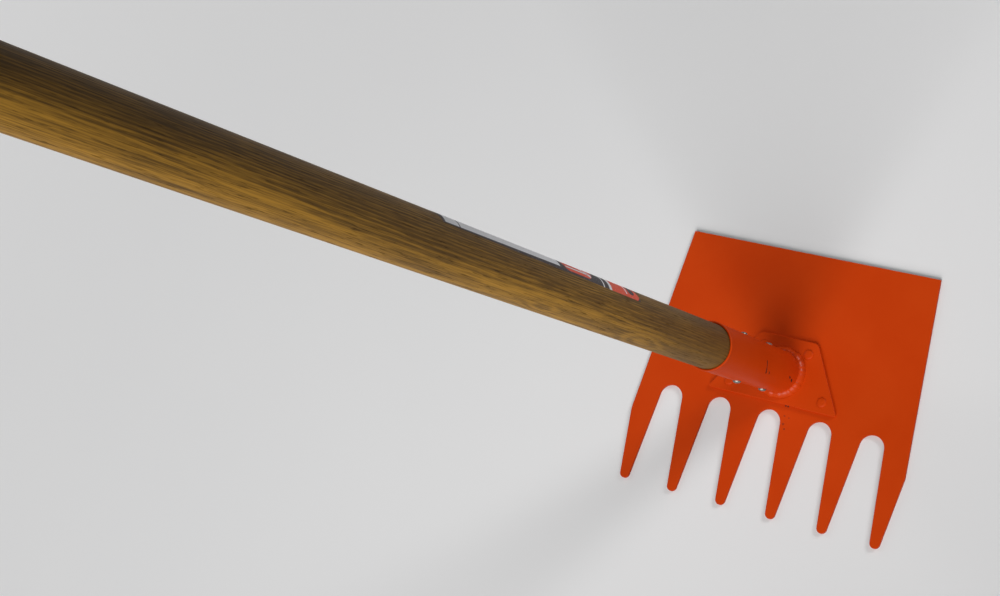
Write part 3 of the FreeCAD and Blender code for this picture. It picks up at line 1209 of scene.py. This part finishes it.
@dataclass
class Shaft:
    """The wooden handle."""

    base: float = 9.5 * MM
    base_chamfer: float = 2.0 * MM
    base_radius: float = 18.58 * MM
    taper_end: float = 186.2 * MM
    length: float = 1220.0 * MM
    end_round: float = 12.0 * MM
    sides: int = 96
    taper_steps: int = 6
    shaft_steps: int = 40

    def build(self, wood: Coat) -> None:
        """Build and dress the handle."""
        hand_over(self.handle(), "handle", wood)

    def handle(self) -> Piece:
        """Turn the handle: chamfered foot, taper in the socket, straight shaft, rounded end.

        Returns:
            The handle.
        """
        foot = self.base + self.base_chamfer
        shaft_end = self.base + self.length - self.end_round
        rings = [(self.base_radius - self.base_chamfer, self.base), (self.base_radius, foot)]
        for step in range(1, self.taper_steps + 1):
            share = step / self.taper_steps
            rings.append((self.base_radius + share * (HANDLE_RADIUS - self.base_radius),
                          foot + share * (self.taper_end - foot)))
        for step in range(1, self.shaft_steps + 1):
            height = self.taper_end + (shaft_end - self.taper_end) * step / self.shaft_steps
            rings.append((HANDLE_RADIUS, height))
        rings += arc((HANDLE_RADIUS - self.end_round, shaft_end), self.end_round, 1, 12)
        piece = turned("wood_handle", rings, self.sides)
        lean(piece)
        smooth(piece)
        return piece


@dataclass
class Label:
    """The printed film round the hoe side of the handle."""

    UV_NAME = "print"
    start: float = 357.0 * MM
    length: float = 292.0 * MM
    thickness: float = 0.06 * MM
    chord: float = 31.7 * MM
    offset: float = -1.1 * MM
    skew: float = math.radians(0.45)
    sides: int = 40
    rows: int = 24

    def build(self, print_coat: Coat) -> None:
        """Build and dress the label."""
        hand_over(self.film(), "label", print_coat)

    def _edge_angle(self, height: float, side: int) -> float:
        """Find where the label's edge lies on the handle.

        Args:
            height: the height along the handle's axis.
            side: 1 for the +X edge and -1 for the -X edge.

        Returns:
            The angle round the handle, in degrees.
        """
        drift = (height - self.start - self.length / 2) * math.tan(self.skew)
        reach = self.offset + side * self.chord / 2 - drift
        return math.degrees(math.acos(reach / (HANDLE_RADIUS + self.thickness)))

    def film(self) -> Piece:
        """Sweep the film round the handle, map its print and give it its thickness.

        Returns:
            The label.
        """
        piece = start(bpy.ops.mesh.primitive_grid_add, "printed_label",
                      x_subdivisions=self.sides, y_subdivisions=self.rows, size=1.0)
        mesh = piece.data
        layer = mesh.uv_layers[0]
        layer.name = self.UV_NAME
        outside = HANDLE_RADIUS + self.thickness
        flat = {}
        for vertex in mesh.vertices:
            across = vertex.co.x + 0.5
            along = 0.5 - vertex.co.y
            height = self.start + self.length * (1 - along)
            low, high = self._edge_angle(height, 1), self._edge_angle(height, -1)
            turn = across * (high - low)
            flat[vertex.index] = (along * self.length, math.radians(turn) * outside)
            vertex.co = on_handle(height, low + turn, outside)
        for loop in mesh.loops:
            layer.data[loop.index].uv = flat[loop.vertex_index]
        with Bench(piece) as bench:
            bench.pick_all()
            bpy.ops.mesh.normals_make_consistent(inside=False)
        apply_modifier(piece, "SOLIDIFY", thickness=self.thickness, offset=-1.0)
        smooth(piece)
        return piece


# ---- studio --------

@dataclass
class Studio:
    """Floor, lights and camera."""

    floor_size: float = 40.0
    camera_place: tuple = (0.63579, -0.14121, 1.59493)
    camera_aim: tuple = (-0.32044, 0.00764, 0.0)
    camera_roll: float = -66.382
    lens: float = 65.07
    key_strength: float = 2.5
    key_spread: float = math.radians(48)
    fill_power: float = 9.0
    fill_size: float = 1.5
    head_power: float = 150.0
    head_spread: float = math.radians(26)
    head_softness: float = 0.45
    sky: float = 0.08
    backdrop: float = 0.80

    def build(self) -> None:
        """Set everything up."""
        self._floor()
        self._sky()
        self._lamp("SUN", "key_light", Vector((0.20, -0.75, 0.63)), Vector(),
                   energy=self.key_strength, angle=self.key_spread)
        self._lamp("SPOT", "head_light", Vector((1.55, 1.70, 1.25)), Vector((0.02, 0, 0.16)),
                   energy=self.head_power, spot_size=self.head_spread, spot_blend=1.0,
                   shadow_soft_size=self.head_softness)
        self._lamp("AREA", "fill_light", Vector((-2.2, 0.5, 1.4)), Vector((0, 0, 0.1)),
                   energy=self.fill_power, shape="SQUARE", size=self.fill_size)
        self._camera()

    def _floor(self) -> None:
        """Lay the floor under the blade."""
        floor = start(bpy.ops.mesh.primitive_plane_add, "floor", size=self.floor_size)
        floor.data.materials.append(FloorTone().make())

    def _sky(self) -> None:
        """Hang a pale backdrop that sheds only a little light."""
        world = bpy.data.worlds.new("studio")
        world.use_nodes = True
        tree = world.node_tree
        background = tree.nodes["Background"]
        background.inputs["Strength"].default_value = self.sky
        backdrop = tree.nodes.new("ShaderNodeBackground")
        backdrop.inputs["Strength"].default_value = self.backdrop
        for each in (background, backdrop):
            each.inputs["Color"].default_value = (1.0, 1.0, 1.0, 1.0)
        rays = tree.nodes.new("ShaderNodeLightPath")
        mix = tree.nodes.new("ShaderNodeMixShader")
        tree.links.new(rays.outputs["Is Camera Ray"], mix.inputs[0])
        tree.links.new(background.outputs[0], mix.inputs[1])
        tree.links.new(backdrop.outputs[0], mix.inputs[2])
        tree.links.new(mix.outputs[0], tree.nodes["World Output"].inputs["Surface"])
        bpy.context.scene.world = world

    @staticmethod
    def _lamp(kind: str, name: str, place: Vector, aim: Vector, **settings: object) -> None:
        """Hang one light.

        Args:
            kind: the light's type.
            name: its name.
            place: where it hangs; for a sun only the direction counts.
            aim: what it points at.
            settings: its own settings.
        """
        light = bpy.data.lights.new(name, kind)
        for key, value in settings.items():
            setattr(light, key, value)
        lamp = bpy.data.objects.new(name, light)
        lamp.location = place
        lamp.rotation_euler = (aim - place).to_track_quat("-Z", "Y").to_euler()
        bpy.context.scene.collection.objects.link(lamp)

    def _camera(self) -> None:
        """Stand the camera above the head, looking down along the handle."""
        data = bpy.data.cameras.new("camera")
        data.lens = self.lens
        data.sensor_width = 36.0
        data.clip_start = 0.02
        camera = bpy.data.objects.new("camera", data)
        place = Vector(self.camera_place)
        look = (Vector(self.camera_aim) - place).to_track_quat("-Z", "Y")
        roll = Quaternion((0, 0, 1), math.radians(self.camera_roll))
        camera.location = place
        camera.rotation_euler = (look @ roll).to_euler()
        bpy.context.scene.collection.objects.link(camera)
        bpy.context.scene.camera = camera
        bpy.context.scene.view_settings.view_transform = "Standard"


def main() -> None:
    """Build every sub-assembly in order."""
    logging.basicConfig(level=logging.INFO, format="%(name)s %(message)s")
    paint = OrangePaint().make()
    steel = RivetSteel().make()
    Head().build(paint)
    Ferrule().build(paint, steel)
    Shaft().build(HandleWood().make())
    Label().build(LabelPrint().make())
    Studio().build()


if __name__ == "__main__":
    main()
